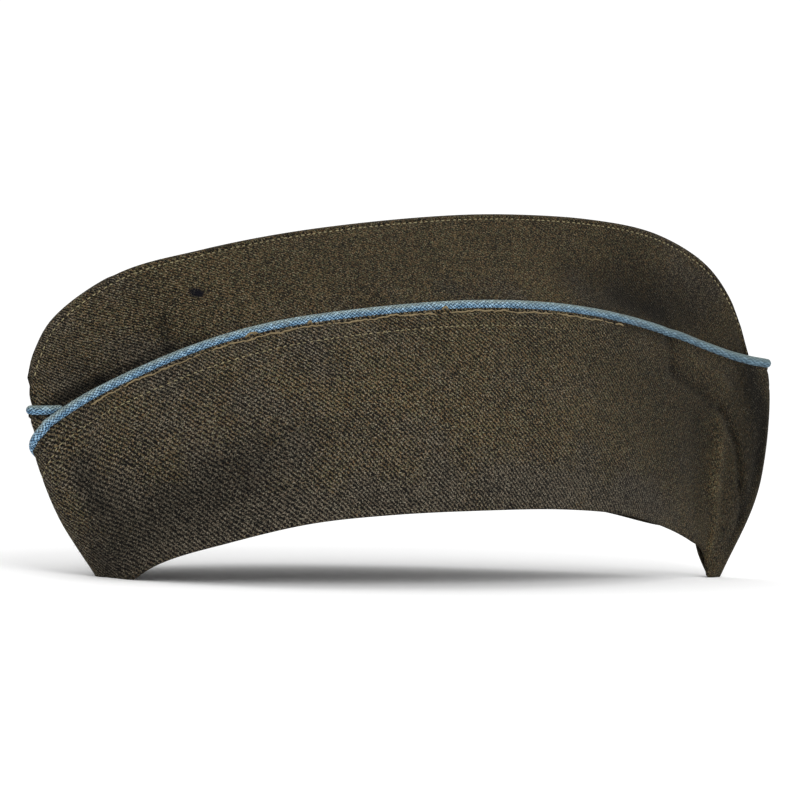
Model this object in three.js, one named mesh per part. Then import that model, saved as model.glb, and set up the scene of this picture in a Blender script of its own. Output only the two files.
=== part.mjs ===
// Garrison cap: a folding side cap of wool serge with a turned-up curtain and a piped edge.
// Millimetres, +Z up. The front of the cap points to -X and the wearer's left side is -Y.
// The origin lies on the surface that the cap rests on, below the middle of its box.
import * as THREE from 'three';

// Driving dimensions
const crownCloth = 1.2; // one ply of serge: crown sides and top
const curtainCloth = 1.6; // two plies: the turned-up curtain
const pipingRadius = 1.5; // round cord sewn along the curtain's edge
const gap = 0.3; // air between neighbouring pieces
const seamAir = 0.15; // half of the air in a centre seam
const foldAir = 0.35; // air between the folded top and the crown's ridges
const valleyDepth = 34; // how far the top is folded down between the ridges
const overlapLift = curtainCloth + 2 * gap; // the left curtain lies on the right one in front

// Places along the cap are counted in sections: 0 is the prow, the last one the back seam.
// Places up the wall are counted from 0 at the rim to 1 at the ridge of the crown.
const edgeHeight = 2 / 3; // where the curtain's edge is
const leftEnd = -2; // the left curtain wraps round the prow and ends on the right side
const rightEnd = -2.25; // the right curtain wraps round it first and ends under the left one
const rightPipingEnd = -1.3; // its piping ends where the left piping crosses it
const edgeFall = 0.16; // how far the left edge falls in each half-turn round the prow
const noseRise = 0.093; // how much higher the right edge is on the prow
const flapFall = 0.15; // how fast the right edge falls behind the left curtain
const topStart = 3; // the folded top runs between the two ridges
const topEnd = 9;
const seamReach = 0.1; // the centre seams of the crown's sides end this close to the top
const liftFull = 1.5; // sections over which the left curtain comes down to its own place
const liftNone = 3;
const crownFoot = 0.03; // the crown's wall starts a little above the curtain's rim

// The form that the curtain lies on, one row for each section, with y as a half-width.
// rim, edge and ridge are points on it; rake moves the wall between rim and edge along X.
// The right side is not quite the left one's mirror: rightRim is how much higher its rim is,
// rightRidge how much lower its ridge. A rim below 0 is cloth pressed flat by the surface.
const columns = [
  'rimX', 'rimY', 'rimZ', 'edgeX', 'edgeY', 'edgeZ', 'ridgeX', 'ridgeY', 'ridgeZ', 'rake',
  'rightRim', 'rightRidge',
];
const sections = [
  [-116, 1.65, -1.5, -143.8, 1.65, 48.5, -148.7, 1.65, 62.5, -3.2, 0, 0],
  [-115, 8, -0.3, -135.5, 4, 54.5, -147, 1.65, 70.5, -3, 0, 0],
  [-110, 22.5, 7.2, -124, 7, 61, -141.8, 2, 81, -2, 0, 0.5],
  [-96, 37.5, 14, -101.5, 17, 73, -121, 3.5, 97, -1, 0, 1.2],
  [-72.5, 48, 21, -79, 24, 81, -92, 4.6, 106.7, 0, 0, 1.2],
  [-45, 52.5, 24.5, -49, 30, 87, -58, 5.4, 115, 0, 0, 1],
  [-9, 53, 26.5, -10, 32, 92, -16, 6, 122.5, 0, 0, 0.5],
  [24, 47.5, 27, 25, 30, 93.5, 24, 6, 126.7, 0, 0.5, 0],
  [58, 35, 25, 60, 23.5, 92, 60, 5.5, 127.5, 0, 2, 0],
  [87.5, 20, 20, 90, 14.5, 88.5, 92, 4.2, 124, 1, 3.5, 0],
  [108, 8, 14.5, 112, 8, 84.5, 115, 2.5, 115, 3, 4.5, 0],
  [117.5, 3.4, 10.5, 128, 3.6, 81.8, 128.2, 1.6, 102.5, 7.5, 4.5, 0],
  [123.5, 2.1, -0.5, 137, 2.2, 80.6, 133, 1.5, 93.5, 9.5, 5, 0],
  [128, 0.15, -2, 145.5, 0.15, 80, 137.3, 1.4, 83.5, 10.5, 0, 0],
].map((row) => Object.fromEntries(columns.map((name, i) => [name, row[i]])));
const last = sections.length - 1;

// The crown's own back edge, inside the curtain: from the rim up to the ridge.
const crownBack = [
  [126.5, 1.4, 6],
  [141, 1.4, 41],
  [140, 1.4, 67],
  [137.3, 1.4, 83.5],
];

// Soft hollows in the wall: place along and up, reach along and up, depth.
const hollows = [
  { along: 1.6, up: 0.76, reachAlong: 0.9, reachUp: 0.1, depth: 1.2 },
  { along: 8.4, up: 0.8, reachAlong: 0.9, reachUp: 0.09, depth: 1.6 },
  { along: 10.8, up: 0.52, reachAlong: 0.7, reachUp: 0.16, depth: 1.2 },
];

const { clamp, smoothstep, lerp: mix } = THREE.MathUtils;
const vector = (x, y, z) => new THREE.Vector3(x, y, z);
const smoothCurve = (points) => new THREE.CatmullRomCurve3(points, false, 'centripetal');
const isRight = (side) => (side > 0 ? 1 : 0);

// Halfway from rim to edge. A wall stands upright at its rim: its belly is a quarter of its lean.
function wallPoint(section, side) {
  const x = (section.rimX + section.edgeX) / 2 + section.rake;
  const y = mix(section.rimY, section.edgeY, 0.5) + (section.rimY - section.edgeY) / 4;
  const z = (section.rimZ + section.edgeZ + isRight(side) * section.rightRim) / 2;
  return vector(x, side * y, z);
}

const railsOf = (side) => [
  sections.map((s) => vector(s.rimX, side * s.rimY, s.rimZ + isRight(side) * s.rightRim)),
  sections.map((s) => wallPoint(s, side)),
  sections.map((s) => vector(s.edgeX, side * s.edgeY, s.edgeZ)),
  sections.map((s) => vector(s.ridgeX, side * s.ridgeY, s.ridgeZ - isRight(side) * s.rightRidge)),
].map(smoothCurve);
const rails = { '-1': railsOf(-1), 1: railsOf(1) };

// The whole form seen from one side (-1 left, 1 right). Below 0 it turns the nose of the prow,
// and below -1 it runs back along the other side.
function form(side, along, up) {
  if (along < -1) {
    return form(-side, -1 - along, up);
  }
  const section = rails[side].map((rail) => rail.getPoint(Math.max(along, 0) / last));
  const point = smoothCurve(section).getPoint(clamp(up, 0, 1));
  if (along < 0) {
    const turn = -along * Math.PI;
    const halfWidth = point.y;
    point.x -= Math.abs(halfWidth) * clamp(0.2 + 3 * up, 0, 1) * Math.sin(turn);
    point.y = halfWidth * Math.cos(turn);
  }
  return point;
}

// The crown's own form leaves the curtain's in the last section, where it ends sooner.
function crownForm(side, along, up) {
  if (along <= last - 1) {
    return form(side, along, up);
  }
  const back = smoothCurve(crownBack.map((p) => vector(p[0], side * p[1], p[2]))).getPoint(up);
  return form(side, last - 1, up).lerp(back, along - last + 1);
}

function outward(surface, side, along, up) {
  const step = 0.02;
  const ahead = Math.min(along + step, last);
  const low = clamp(up - step, 0, 1 - 2 * step);
  const lengthwise = surface(side, ahead, up).sub(surface(side, ahead - 2 * step, up));
  const upward = surface(side, along, low + 2 * step).sub(surface(side, along, low));
  return lengthwise.cross(upward).normalize().multiplyScalar(-side);
}

function hollowDepth(along, up) {
  const place = Math.max(along, -1 - along);
  return hollows.reduce((sum, h) => {
    const a = (place - h.along) / h.reachAlong;
    const b = (up - h.up) / h.reachUp;
    return sum + h.depth * Math.exp(-a * a - b * b);
  }, 0);
}

// A point at a height above a surface, measured square to it.
function above(surface, side, along, up, height) {
  const lift = height - hollowDepth(along, up);
  return surface(side, along, up).addScaledVector(outward(surface, side, along, up), lift);
}

// Two skins of a wall, joined round their border into one closed body.
function wallGeometry(alongList, upList, outerPoint, innerPoint, inverted = false) {
  const positions = [];
  for (const skin of [outerPoint, innerPoint]) {
    for (const along of alongList) {
      for (const up of upList) {
        positions.push(...skin(along, up).toArray());
      }
    }
  }
  const tall = upList.length;
  const top = tall - 1;
  const end = (alongList.length - 1) * tall;
  const inner = end + tall;
  const indices = [];
  const triangle = (a, b, c) => indices.push(...(inverted ? [a, c, b] : [a, b, c]));
  const quad = (a, b, c, d) => {
    triangle(a, b, c);
    triangle(a, c, d);
  };
  for (let i = 0; i < end; i += tall) {
    for (let j = i; j < i + top; j += 1) {
      quad(j, j + tall, j + tall + 1, j + 1);
      quad(inner + j, inner + j + 1, inner + j + tall + 1, inner + j + tall);
    }
    quad(i, inner + i, inner + i + tall, i + tall);
    quad(i + top, i + top + tall, inner + i + top + tall, inner + i + top);
  }
  for (let j = 0; j < top; j += 1) {
    quad(j, j + 1, inner + j + 1, inner + j);
    quad(end + j, inner + end + j, inner + end + j + 1, end + j + 1);
  }
  const geometry = new THREE.BufferGeometry();
  geometry.setAttribute('position', new THREE.Float32BufferAttribute(positions, 3));
  geometry.setIndex(indices);
  return geometry;
}

function steps(from, to, count) {
  return Array.from({ length: count + 1 }, (unused, i) => mix(from, to, i / count));
}

// Pushes a point out to at least a distance from the centre plane, on its own side.
function keepOff(point, side, distance) {
  point.y = side * Math.max(side * point.y, distance);
  return point;
}

// The sections are closer where the prow turns.
const alongList = [
  ...steps(0, 3, 12),
  ...steps(3, last, 3 * (last - 3)).slice(1),
  topStart - seamReach,
  topEnd + seamReach,
].sort((a, b) => a - b);

// Where the form comes up out of the surface that it rests on.
function footOf(side, along) {
  let low = 0;
  let high = 0.2;
  if (form(side, along, 0).z >= 0) {
    return 0;
  }
  for (let i = 0; i < 20; i += 1) {
    const middle = (low + high) / 2;
    if (form(side, along, middle).z < 0) {
      low = middle;
    } else {
      high = middle;
    }
  }
  return low;
}

// Crown sides. They meet at the centre seams, before and behind the folded top.
function crownSide(side) {
  const skin = (depth, nearest) => (along, share) => {
    const place = mix(footOf(side, along) + crownFoot, 1, share);
    return keepOff(above(crownForm, side, along, place, -depth), side, nearest);
  };
  const outer = (along, share) => {
    const nose = along < 0;
    return skin(nose ? 1.5 * gap : gap, nose ? seamAir : seamAir + 1)(along, share);
  };
  const inner = (along, share) => {
    const point = skin(gap + crownCloth, seamAir)(along, share);
    const seamed = along < topStart - seamReach / 2 || along > topEnd + seamReach / 2;
    return seamed && share === 1 ? point.setY(side * seamAir) : point;
  };
  return wallGeometry([-0.5, ...alongList], steps(0, 1, 11), outer, inner, side > 0);
}

// Curtain: the left edge falls from the prow on. The right one rises to the prow, turns it
// level and falls only behind the left curtain.
function edgeOf(side, along) {
  if (side < 0) {
    return edgeHeight + edgeFall * Math.min(along, 0);
  }
  const past = Math.max(-1 - along, 0);
  return edgeHeight + noseRise * clamp(1 - along, 0, 1) ** 2 - flapFall * past * (1 - past / 4);
}

const liftOf = (side, along) => {
  return side > 0 ? 0 : overlapLift * (1 - smoothstep(along, liftFull, liftNone));
};

// How far down the wall a point lies that is a distance below the edge, square to it.
function belowEdge(side, along, distance) {
  const step = 0.05;
  const edge = edgeOf(side, along);
  const skin = (at, up) => above(form, side, at, up, liftOf(side, at) + curtainCloth);
  const here = skin(along, edge);
  const down = skin(along, edge - step).sub(here);
  const ahead = along + (along > 1 ? -step : step);
  const run = skin(ahead, edgeOf(side, ahead)).sub(here).normalize();
  const slope = down.clone().normalize().cross(run).length();
  return edge - (distance / slope / down.length()) * step;
}

function curtain(side, end) {
  const skin = (thickness) => (along, share) => {
    const top = belowEdge(side, along, pipingRadius + 2.5 * gap);
    const place = mix(footOf(side, along), top, share);
    const point = above(form, side, along, place, liftOf(side, along) + thickness);
    point.z = Math.max(point.z, 0);
    return along > 0 ? keepOff(point, side, seamAir) : point;
  };
  const around = [...steps(end, -0.25, (-0.25 - end) * 4), ...alongList];
  return wallGeometry(around, steps(0, 1, 7), skin(curtainCloth), skin(0), side > 0);
}

// Top: one boat-shaped piece, folded down as a valley between the ridges.
function foldedTop() {
  const skin = (inset) => (along, share) => {
    const turn = share * Math.PI;
    const side = turn < Math.PI / 2 ? 1 : -1;
    const ridge = above(crownForm, side, along, 1, -gap);
    const inside = above(crownForm, side, along, 1, -gap - crownCloth);
    const halfWidth = Math.abs(inside.y) - foldAir - inset;
    const open = Math.sin(Math.PI * mix(0.06, 0.94, (along - topStart) / (topEnd - topStart)));
    const depth = valleyDepth * open - inset;
    const leftRidge = above(crownForm, -1, along, 1, -gap).z;
    const rightRidge = above(crownForm, 1, along, 1, -gap).z;
    const top = mix(leftRidge, rightRidge, (1 + Math.cos(turn)) / 2) - gap;
    const across = halfWidth * Math.cos(turn);
    return vector((ridge.x + inside.x) / 2, across, top - depth * Math.sin(turn));
  };
  return wallGeometry(steps(topStart, topEnd, 24), steps(0, 1, 8), skin(0), skin(crownCloth));
}

// Piping: one cord along both edges. It starts on the left curtain's flap, turns the prow,
// follows the left edge, turns the back seam and comes forward along the right edge.
function pipedEdge() {
  const centre = (side, along) => {
    const height = liftOf(side, along) + pipingRadius + gap / 2;
    return above(form, side, along, edgeOf(side, along), height);
  };
  const left = steps(leftEnd + 0.1, last, 60).map((along) => centre(-1, along));
  const right = steps(rightPipingEnd, last, 60).map((along) => centre(1, along));
  const turn = left[left.length - 1].clone().setY(0);
  turn.x += pipingRadius;
  const round = new THREE.Shape().absarc(0, 0, pipingRadius, 0, 2 * Math.PI);
  return new THREE.ExtrudeGeometry(round, {
    steps: 150,
    curveSegments: 4,
    bevelEnabled: false,
    extrudePath: new THREE.CatmullRomCurve3([...left, turn, ...right.reverse()]),
  });
}

const serge = { color: 0x403c32, roughness: 0.95, metalness: 0 };
const cord = { color: 0x7890a4, roughness: 0.8, metalness: 0 };
const pieces = [
  ['crown_left', crownSide(-1), serge],
  ['crown_right', crownSide(1), serge],
  ['crown_top', foldedTop(), serge],
  ['curtain_left', curtain(-1, leftEnd), serge],
  ['curtain_right', curtain(1, rightEnd), serge],
  ['piping', pipedEdge(), cord],
];

const cap = new THREE.Group();
for (const [name, geometry, finish] of pieces) {
  const mesh = new THREE.Mesh(geometry, new THREE.MeshStandardMaterial(finish));
  mesh.name = name;
  cap.add(mesh);
}

export default cap;
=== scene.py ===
import math

import bpy
import numpy as np
from mathutils import Euler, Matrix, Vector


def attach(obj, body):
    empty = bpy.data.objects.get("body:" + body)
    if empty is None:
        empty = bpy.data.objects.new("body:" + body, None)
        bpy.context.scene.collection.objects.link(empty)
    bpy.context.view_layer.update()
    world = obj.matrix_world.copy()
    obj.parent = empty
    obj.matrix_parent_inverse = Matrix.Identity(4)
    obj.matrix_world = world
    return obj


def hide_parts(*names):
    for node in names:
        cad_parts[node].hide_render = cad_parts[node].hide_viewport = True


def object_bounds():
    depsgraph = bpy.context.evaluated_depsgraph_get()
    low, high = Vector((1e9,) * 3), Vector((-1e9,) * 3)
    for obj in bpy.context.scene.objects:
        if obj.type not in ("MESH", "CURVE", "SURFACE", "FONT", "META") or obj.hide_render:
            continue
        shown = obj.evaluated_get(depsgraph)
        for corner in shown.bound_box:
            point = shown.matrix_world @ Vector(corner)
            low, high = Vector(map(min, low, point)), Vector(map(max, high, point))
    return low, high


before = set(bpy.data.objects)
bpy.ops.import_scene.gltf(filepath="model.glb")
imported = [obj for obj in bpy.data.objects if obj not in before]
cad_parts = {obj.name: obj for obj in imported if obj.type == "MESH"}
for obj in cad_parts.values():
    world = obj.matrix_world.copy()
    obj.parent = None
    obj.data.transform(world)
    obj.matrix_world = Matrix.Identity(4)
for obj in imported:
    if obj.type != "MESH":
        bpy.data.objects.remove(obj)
cadLow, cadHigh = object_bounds()
rng = np.random.default_rng(7)
print("frame loaded")

# The cap's form. Lengths are in millimetres until a mesh is made.
capLook = {
    "curtainThickness": 1.6,
    "crownThickness": 1.2,
    "pieceGap": 0.3,
    "overlapLift": 2.2,  # how far the left curtain stands off where it laps over the right one
    "liftFull": 1.5,  # the sections between which that lift fades
    "liftNone": 3.0,
    "edgeHeight": 2 / 3,
    "leftEnd": -2.0,  # where the curtains end, past the prow
    "rightEnd": -2.25,
    "edgeFall": 0.16,  # how the edges rise and fall round the prow
    "noseRise": 0.093,
    "flapFall": 0.15,
    "softWaves": 0.22,  # how deep the slow waves in the cloth are
    "waveTurns": (1.9, 9),  # how fast they come along and up the cloth
    "sectionStep": 23.0,  # about how far apart the sections are, and how tall the wall is
    "wallHeight": 115.0,
}

# One row for each section from the prow to the back seam, with y as a half-width.
# rim, edge and ridge are points on the form; rake moves the wall between rim and edge.
columns = (
    "rimX rimY rimZ edgeX edgeY edgeZ ridgeX ridgeY ridgeZ rake rightRim rightRidge"
).split()
sections = [
    dict(zip(columns, row))
    for row in (
        (-116, 1.65, -1.5, -143.8, 1.65, 48.5, -148.7, 1.65, 62.5, -3.2, 0, 0),
        (-115, 8, -0.3, -135.5, 4, 54.5, -147, 1.65, 70.5, -3, 0, 0),
        (-110, 22.5, 7.2, -124, 7, 61, -141.8, 2, 81, -2, 0, 0.5),
        (-96, 37.5, 14, -101.5, 17, 73, -121, 3.5, 97, -1, 0, 1.2),
        (-72.5, 48, 21, -79, 24, 81, -92, 4.6, 106.7, 0, 0, 1.2),
        (-45, 52.5, 24.5, -49, 30, 87, -58, 5.4, 115, 0, 0, 1),
        (-9, 53, 26.5, -10, 32, 92, -16, 6, 122.5, 0, 0, 0.5),
        (24, 47.5, 27, 25, 30, 93.5, 24, 6, 126.7, 0, 0.5, 0),
        (58, 35, 25, 60, 23.5, 92, 60, 5.5, 127.5, 0, 2, 0),
        (87.5, 20, 20, 90, 14.5, 88.5, 92, 4.2, 124, 1, 3.5, 0),
        (108, 8, 14.5, 112, 8, 84.5, 115, 2.5, 115, 3, 4.5, 0),
        (117.5, 3.4, 10.5, 128, 3.6, 81.8, 128.2, 1.6, 102.5, 7.5, 8.5, 0),
        (122.3, 2.1, -0.5, 137, 2.2, 80.6, 133, 1.5, 93.5, 9.5, 8, 0),
        (127, 0.15, -2, 145.5, 0.15, 80, 137.3, 1.4, 83.5, 10.5, 0, 0),
    )
]
crownBack = [(126.5, 1.4, 6), (141, 1.4, 41), (140, 1.4, 67), (137.3, 1.4, 83.5)]
last = len(sections) - 1

# Folds, browner places and painted light and shade of the wall, on both sides. Each is a line between
# two places, given by section and height. Reach is its half-width and depth how far it stands out, in
# millimetres; light is how much painted light it adds there, painted shade where it is below 0, and brown how
# much browner the cloth looks.
foldColumns = "along up endAlong endUp reach depth light brown".split()
folds = [
    dict(zip(foldColumns, row))
    for row in (
        # pinched back of the curtain: the crease, the hollow behind it, the fold before it, with painted
        # shade in the crease and hollows, painted highlights along the raised folds, and the whole back
        # painted darker and browner
        (8.95, 0.66, 9.0, 0.53, 2.4, -0.5, -0.1, 0),
        (9.0, 0.53, 10.4, 0.46, 2.8, -0.8, -0.16, 0),
        (10.4, 0.46, 11.6, 0.27, 2.8, -1.0, -0.22, 0),
        (11.6, 0.27, 12.5, 0.18, 2.6, -0.7, -0.15, 0),
        (11.2, 0.56, 12.7, 0.35, 12, -1.0, -0.16, -0.2),
        (11.9, 0.6, 12.7, 0.46, 9, -0.4, -0.38, -0.3),
        (12.4, 0.34, 12.3, 0.15, 8, -0.6, -0.24, 0),
        (9.0, 0.35, 13.0, 0.35, 34, 0, -0.25, 0.45),
        (10.35, 0.43, 10.5, 0.2, 4.5, 0.9, 0.2, 0.7),
        (10.5, 0.2, 11.3, 0.02, 4, 0.7, 0.16, 0.6),
        (9.6, 0.59, 10.6, 0.55, 3, 0.5, 0.1, 0.3),
        (9.6, 0.38, 9.9, 0.12, 7, -0.5, -0.13, 0),
        # front of the curtain darker and greyer, greyer along the foot, a small darker patch, its middle
        # browner and a little lighter, and painted shade in a crease under the cord
        (0.6, 0.12, 3.2, 0.2, 14, 0, -0.24, -0.6),
        (0.8, 0.42, 1.2, 0.3, 8, 0, -0.26, -0.6),
        (2.0, 0.05, 8.5, 0.05, 9, 0, 0, -0.7),
        (5.5, 0.5, 10.5, 0.45, 22, 0, -0.04, 0.5),
        (3.7, 0.28, 4.4, 0.3, 8, 0, -0.08, -0.2),
        (4.8, 0.35, 6.5, 0.35, 16, 0, 0.05, 0.1),
        (8.0, 0.645, 9.0, 0.64, 3, -0.3, -0.2, 0),
        # crown: painted shade over the crossing, in a small crease and in the dents near the front and at the
        # back, its back painted darker, browner cloth on top, and a painted highlight at the top of its back
        # edge
        (-0.2, 0.735, 1.9, 0.7, 3.5, -0.5, -0.5, -0.5),
        (1.9, 0.7, 3.2, 0.695, 2.6, -0.2, -0.25, -0.2),
        (1.6, 0.78, 2.4, 0.74, 12, -0.9, -0.08, -0.2),
        (3.0, 0.81, 2.8, 0.7, 1.6, -0.2, -0.25, -0.2),
        (7.7, 0.79, 9.6, 0.76, 9, -1.4, -0.22, -0.4),
        (8.2, 0.74, 9.0, 0.72, 5, -0.3, -0.25, -0.3),
        (8.8, 0.85, 11.5, 0.8, 18, -0.3, -0.2, 0.1),
        (3.4, 0.87, 8.2, 0.89, 14, 0, -0.04, 1.0),
        (11.6, 0.9, 12.7, 0.75, 3, 0, 0.2, 0.8),
    )
]


def curvePoint(points, t):
    # points: (count, n, 3), one centripetal curve for each of n samples; t: (n,) from 0 to 1.
    count, n = points.shape[:2]
    place = np.clip(t, 0, 1) * (count - 1)
    first = np.minimum(place.astype(int), count - 2)
    w = (place - first)[:, None]
    ends = (2 * points[:1] - points[1:2], points, 2 * points[-1:] - points[-2:-1])
    longer = np.concatenate(ends)
    p0, p1, p2, p3 = (longer[first + k, np.arange(n)] for k in range(4))
    gap0, gap1, gap2 = (
        np.sqrt(np.linalg.norm(b - a, axis=1, keepdims=True)) for a, b in ((p0, p1), (p1, p2), (p2, p3))
    )
    gap1 = np.where(gap1 < 1e-4, 1, gap1)
    gap0 = np.where(gap0 < 1e-4, gap1, gap0)
    gap2 = np.where(gap2 < 1e-4, gap1, gap2)
    start = ((p1 - p0) / gap0 - (p2 - p0) / (gap0 + gap1) + (p2 - p1) / gap1) * gap1
    end = ((p2 - p1) / gap1 - (p3 - p1) / (gap1 + gap2) + (p3 - p2) / gap2) * gap1
    square = -3 * p1 + 3 * p2 - 2 * start - end
    cube = 2 * p1 - 2 * p2 + start + end
    return p1 + start * w + square * w * w + cube * w**3


# One curve through a list of points, at each t.
def onCurve(control, t):
    return curvePoint(np.broadcast_to(control[:, None], (len(control), len(t), 3)), t)


def railsOf(side):
    right = side > 0
    rim = [(s["rimX"], side * s["rimY"], s["rimZ"] + right * s["rightRim"]) for s in sections]
    edge = [(s["edgeX"], side * s["edgeY"], s["edgeZ"]) for s in sections]
    ridge = [(s["ridgeX"], side * s["ridgeY"], s["ridgeZ"] - right * s["rightRidge"]) for s in sections]
    wall = [
        (
            (s["rimX"] + s["edgeX"]) / 2 + s["rake"],
            side * (0.75 * s["rimY"] + 0.25 * s["edgeY"]),
            (s["rimZ"] + s["edgeZ"] + right * s["rightRim"]) / 2,
        )
        for s in sections
    ]
    return [np.array(rail, float) for rail in (rim, wall, edge, ridge)]


rails = {side: railsOf(side) for side in (-1, 1)}


def halfForm(side, along, up):
    section = [onCurve(rail, np.maximum(along, 0) / last) for rail in rails[side]]
    point = curvePoint(np.stack(section), up)
    turn = np.pi * np.clip(-along, 0, None)
    halfWidth = point[:, 1].copy()
    bulge = np.clip(0.2 + 3 * up, 0, 1) * (1 - 0.9 * smooth(up, 0.85, 1.0))
    point[:, 0] -= np.abs(halfWidth) * bulge * np.sin(turn)
    point[:, 1] = halfWidth * np.cos(turn)
    return point


# The whole form from one side (-1 left, 1 right). Below 0 it turns the prow, below -1 it is past it.
def form(side, along, up):
    along, up = np.broadcast_arrays(np.asarray(along, float), np.asarray(up, float))
    flatAlong, flatUp = along.ravel(), np.clip(up.ravel(), 0, 1)
    point = np.empty((flatAlong.size, 3))
    past = flatAlong < -1
    for way, mask in ((side, ~past), (-side, past)):
        if mask.any():
            place = flatAlong[mask]
            point[mask] = halfForm(way, np.where(place < -1, -1 - place, place), flatUp[mask])
    return point.reshape(*along.shape, 3)


def crownForm(side, along, up):
    along, up = np.broadcast_arrays(np.asarray(along, float), np.asarray(up, float))
    point = form(side, np.minimum(along, last - 1), up)
    share = np.clip(along - last + 1, 0, 1)[..., None]
    back = np.array(crownBack, float) * (1, side, 1)
    ending = onCurve(back, np.clip(up.ravel(), 0, 1))
    return point * (1 - share) + ending.reshape(point.shape) * share


def unit(vectors):
    return vectors / np.maximum(np.linalg.norm(vectors, axis=-1, keepdims=True), 1e-9)


# How far each point of a line is from its start. A sheet of points has its lines along an axis.
def distances(line, axis=0):
    steps = np.linalg.norm(np.diff(line, axis=axis), axis=-1)
    start = 0 * np.take(steps, [0], axis)
    return np.cumsum(np.concatenate([start, steps], axis), axis)


def pointsAt(places, length, line):
    return np.stack([np.interp(places, length, line[:, k]) for k in range(3)], axis=-1)


def outward(surface, side, along, up):
    step = 0.02
    ahead = np.minimum(along + step, last)
    low = np.clip(up - step, 0, 1 - 2 * step)
    lengthwise = surface(side, ahead, up) - surface(side, ahead - 2 * step, up)
    upward = surface(side, along, low + 2 * step) - surface(side, along, low)
    return unit(np.cross(lengthwise, upward)) * -side


# Slow waves of the cloth: a sum of sines in random directions, the same for all the layers.
waves = [(*rng.normal(0, 1, 2), rng.uniform(0, 2 * np.pi)) for _ in range(14)]


# How near each place is to a fold, from 0 to 1. Past the prow the folds are mirrored.
def nearFold(fold, along, up):
    place = np.maximum(along, -1 - along)
    sectionStep, wallHeight = capLook["sectionStep"], capLook["wallHeight"]
    x, y = (place - fold["along"]) * sectionStep, (up - fold["up"]) * wallHeight
    dx = (fold["endAlong"] - fold["along"]) * sectionStep
    dy = (fold["endUp"] - fold["up"]) * wallHeight
    t = np.clip((x * dx + y * dy) / (dx * dx + dy * dy), 0, 1)
    return np.exp(-((x - t * dx) ** 2 + (y - t * dy) ** 2) / fold["reach"] ** 2)


def relief(side, along, up):
    place = np.maximum(along, -1 - along)
    depth = np.zeros(np.broadcast(along, up).shape)
    for fold in folds:
        if fold["depth"]:
            depth = depth + fold["depth"] * nearFold(fold, along, up)
    turnAlong, turnUp = capLook["waveTurns"]
    for a, b, phase in waves:
        wave = np.sin(a * turnAlong * place + b * turnUp * up + phase * (1 + side))
        depth += capLook["softWaves"] * 0.4 * wave
    return depth


# How much painted light and shade, how brown and how napped the cloth is at a place.
def shading(along, up, napAt):
    place = np.maximum(along, -1 - along)
    light, brown = np.ones(place.shape), np.full(place.shape, 0.5)
    for fold in folds:
        near = nearFold(fold, along, up)
        light += fold["light"] * near
        brown += fold["brown"] * 0.5 * near
    return np.stack([np.clip(light, 0.2, 2), brown, smooth(place, *napAt)], axis=-1)


def above(surface, side, along, up, height):
    lift = height + relief(side, along, up)
    return surface(side, along, up) + outward(surface, side, along, up) * lift[..., None]


def smooth(value, low, high):
    t = np.clip((value - low) / (high - low), 0, 1)
    return t * t * (3 - 2 * t)


def footOf(side, along):
    low, high = np.zeros_like(along), np.full_like(along, 0.2)
    under = form(side, along, low)[..., 2] < 0
    for _ in range(18):
        middle = (low + high) / 2
        sunk = form(side, along, middle)[..., 2] < 0
        low, high = np.where(sunk, middle, low), np.where(sunk, high, middle)
    return np.where(under, low, 0)


def edgeOf(side, along):
    if side < 0:
        return capLook["edgeHeight"] + capLook["edgeFall"] * np.minimum(along, 0)
    past = np.maximum(-1 - along, 0)
    rise = capLook["noseRise"] * np.clip(1 - along, 0, 1) ** 2
    return capLook["edgeHeight"] + rise - capLook["flapFall"] * past * (1 - past / 4)


def liftOf(side, along):
    if side > 0:
        return np.zeros_like(along)
    return capLook["overlapLift"] * (1 - smooth(along, capLook["liftFull"], capLook["liftNone"]))


# A list of places along the form about a step apart, by the length of its line at a height.
def evenly(surface, side, start, end, up, step):
    fine = np.linspace(start, end, 1500)
    line = surface(side, fine, np.full_like(fine, up))
    length = distances(line)
    count = int(length[-1] / step) + 1
    return np.interp(np.linspace(0, length[-1], count), length, fine)


# Rows for a wall: given distances below its top edge, then even ones down to its foot.
def rowsBelow(surface, side, along, foot, top, near, step):
    shares = np.linspace(0, 1, 80)
    ups = foot[:, None] + (top - foot)[:, None] * shares
    line = surface(side, np.repeat(along[:, None], len(shares), 1), ups)
    length = distances(line, 1)
    total = length[:, -1:]
    rest = int((total.max() - near[-1]) / step)
    share = np.linspace(0, 1, rest + 1)[1:]
    squeeze = np.minimum(1, 0.6 * total / near[-1])
    evenRows = near[-1] * squeeze + (total - near[-1] * squeeze) * share
    below = np.concatenate([near * squeeze, evenRows], axis=1)
    rise = (total - below)[:, ::-1]
    placed = np.stack([np.interp(r, l, u) for r, l, u in zip(rise, length, ups)])
    return placed, rise, below[:, ::-1]


def makeMesh(name, points, faces, vectors=None):
    mesh = bpy.data.meshes.new(name)
    faces = np.asarray(faces, np.int32)
    size = faces.shape[1]
    mesh.vertices.add(len(points))
    mesh.vertices.foreach_set("co", (np.asarray(points) * 0.001).ravel())
    mesh.loops.add(faces.size)
    mesh.loops.foreach_set("vertex_index", faces.ravel())
    mesh.polygons.add(len(faces))
    mesh.polygons.foreach_set("loop_start", np.arange(0, faces.size, size, dtype=np.int32))
    for label, values in (vectors or {}).items():
        domain = "CORNER" if len(values) == faces.size else "POINT"
        attribute = mesh.attributes.new(label, "FLOAT_VECTOR", domain)
        attribute.data.foreach_set("vector", np.asarray(values, float).ravel())
    mesh.update(calc_edges=True)
    mesh.polygons.foreach_set("use_smooth", np.ones(len(faces), bool))
    mesh.validate()
    piece = bpy.data.objects.new(name, mesh)
    bpy.context.scene.collection.objects.link(piece)
    return piece


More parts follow.
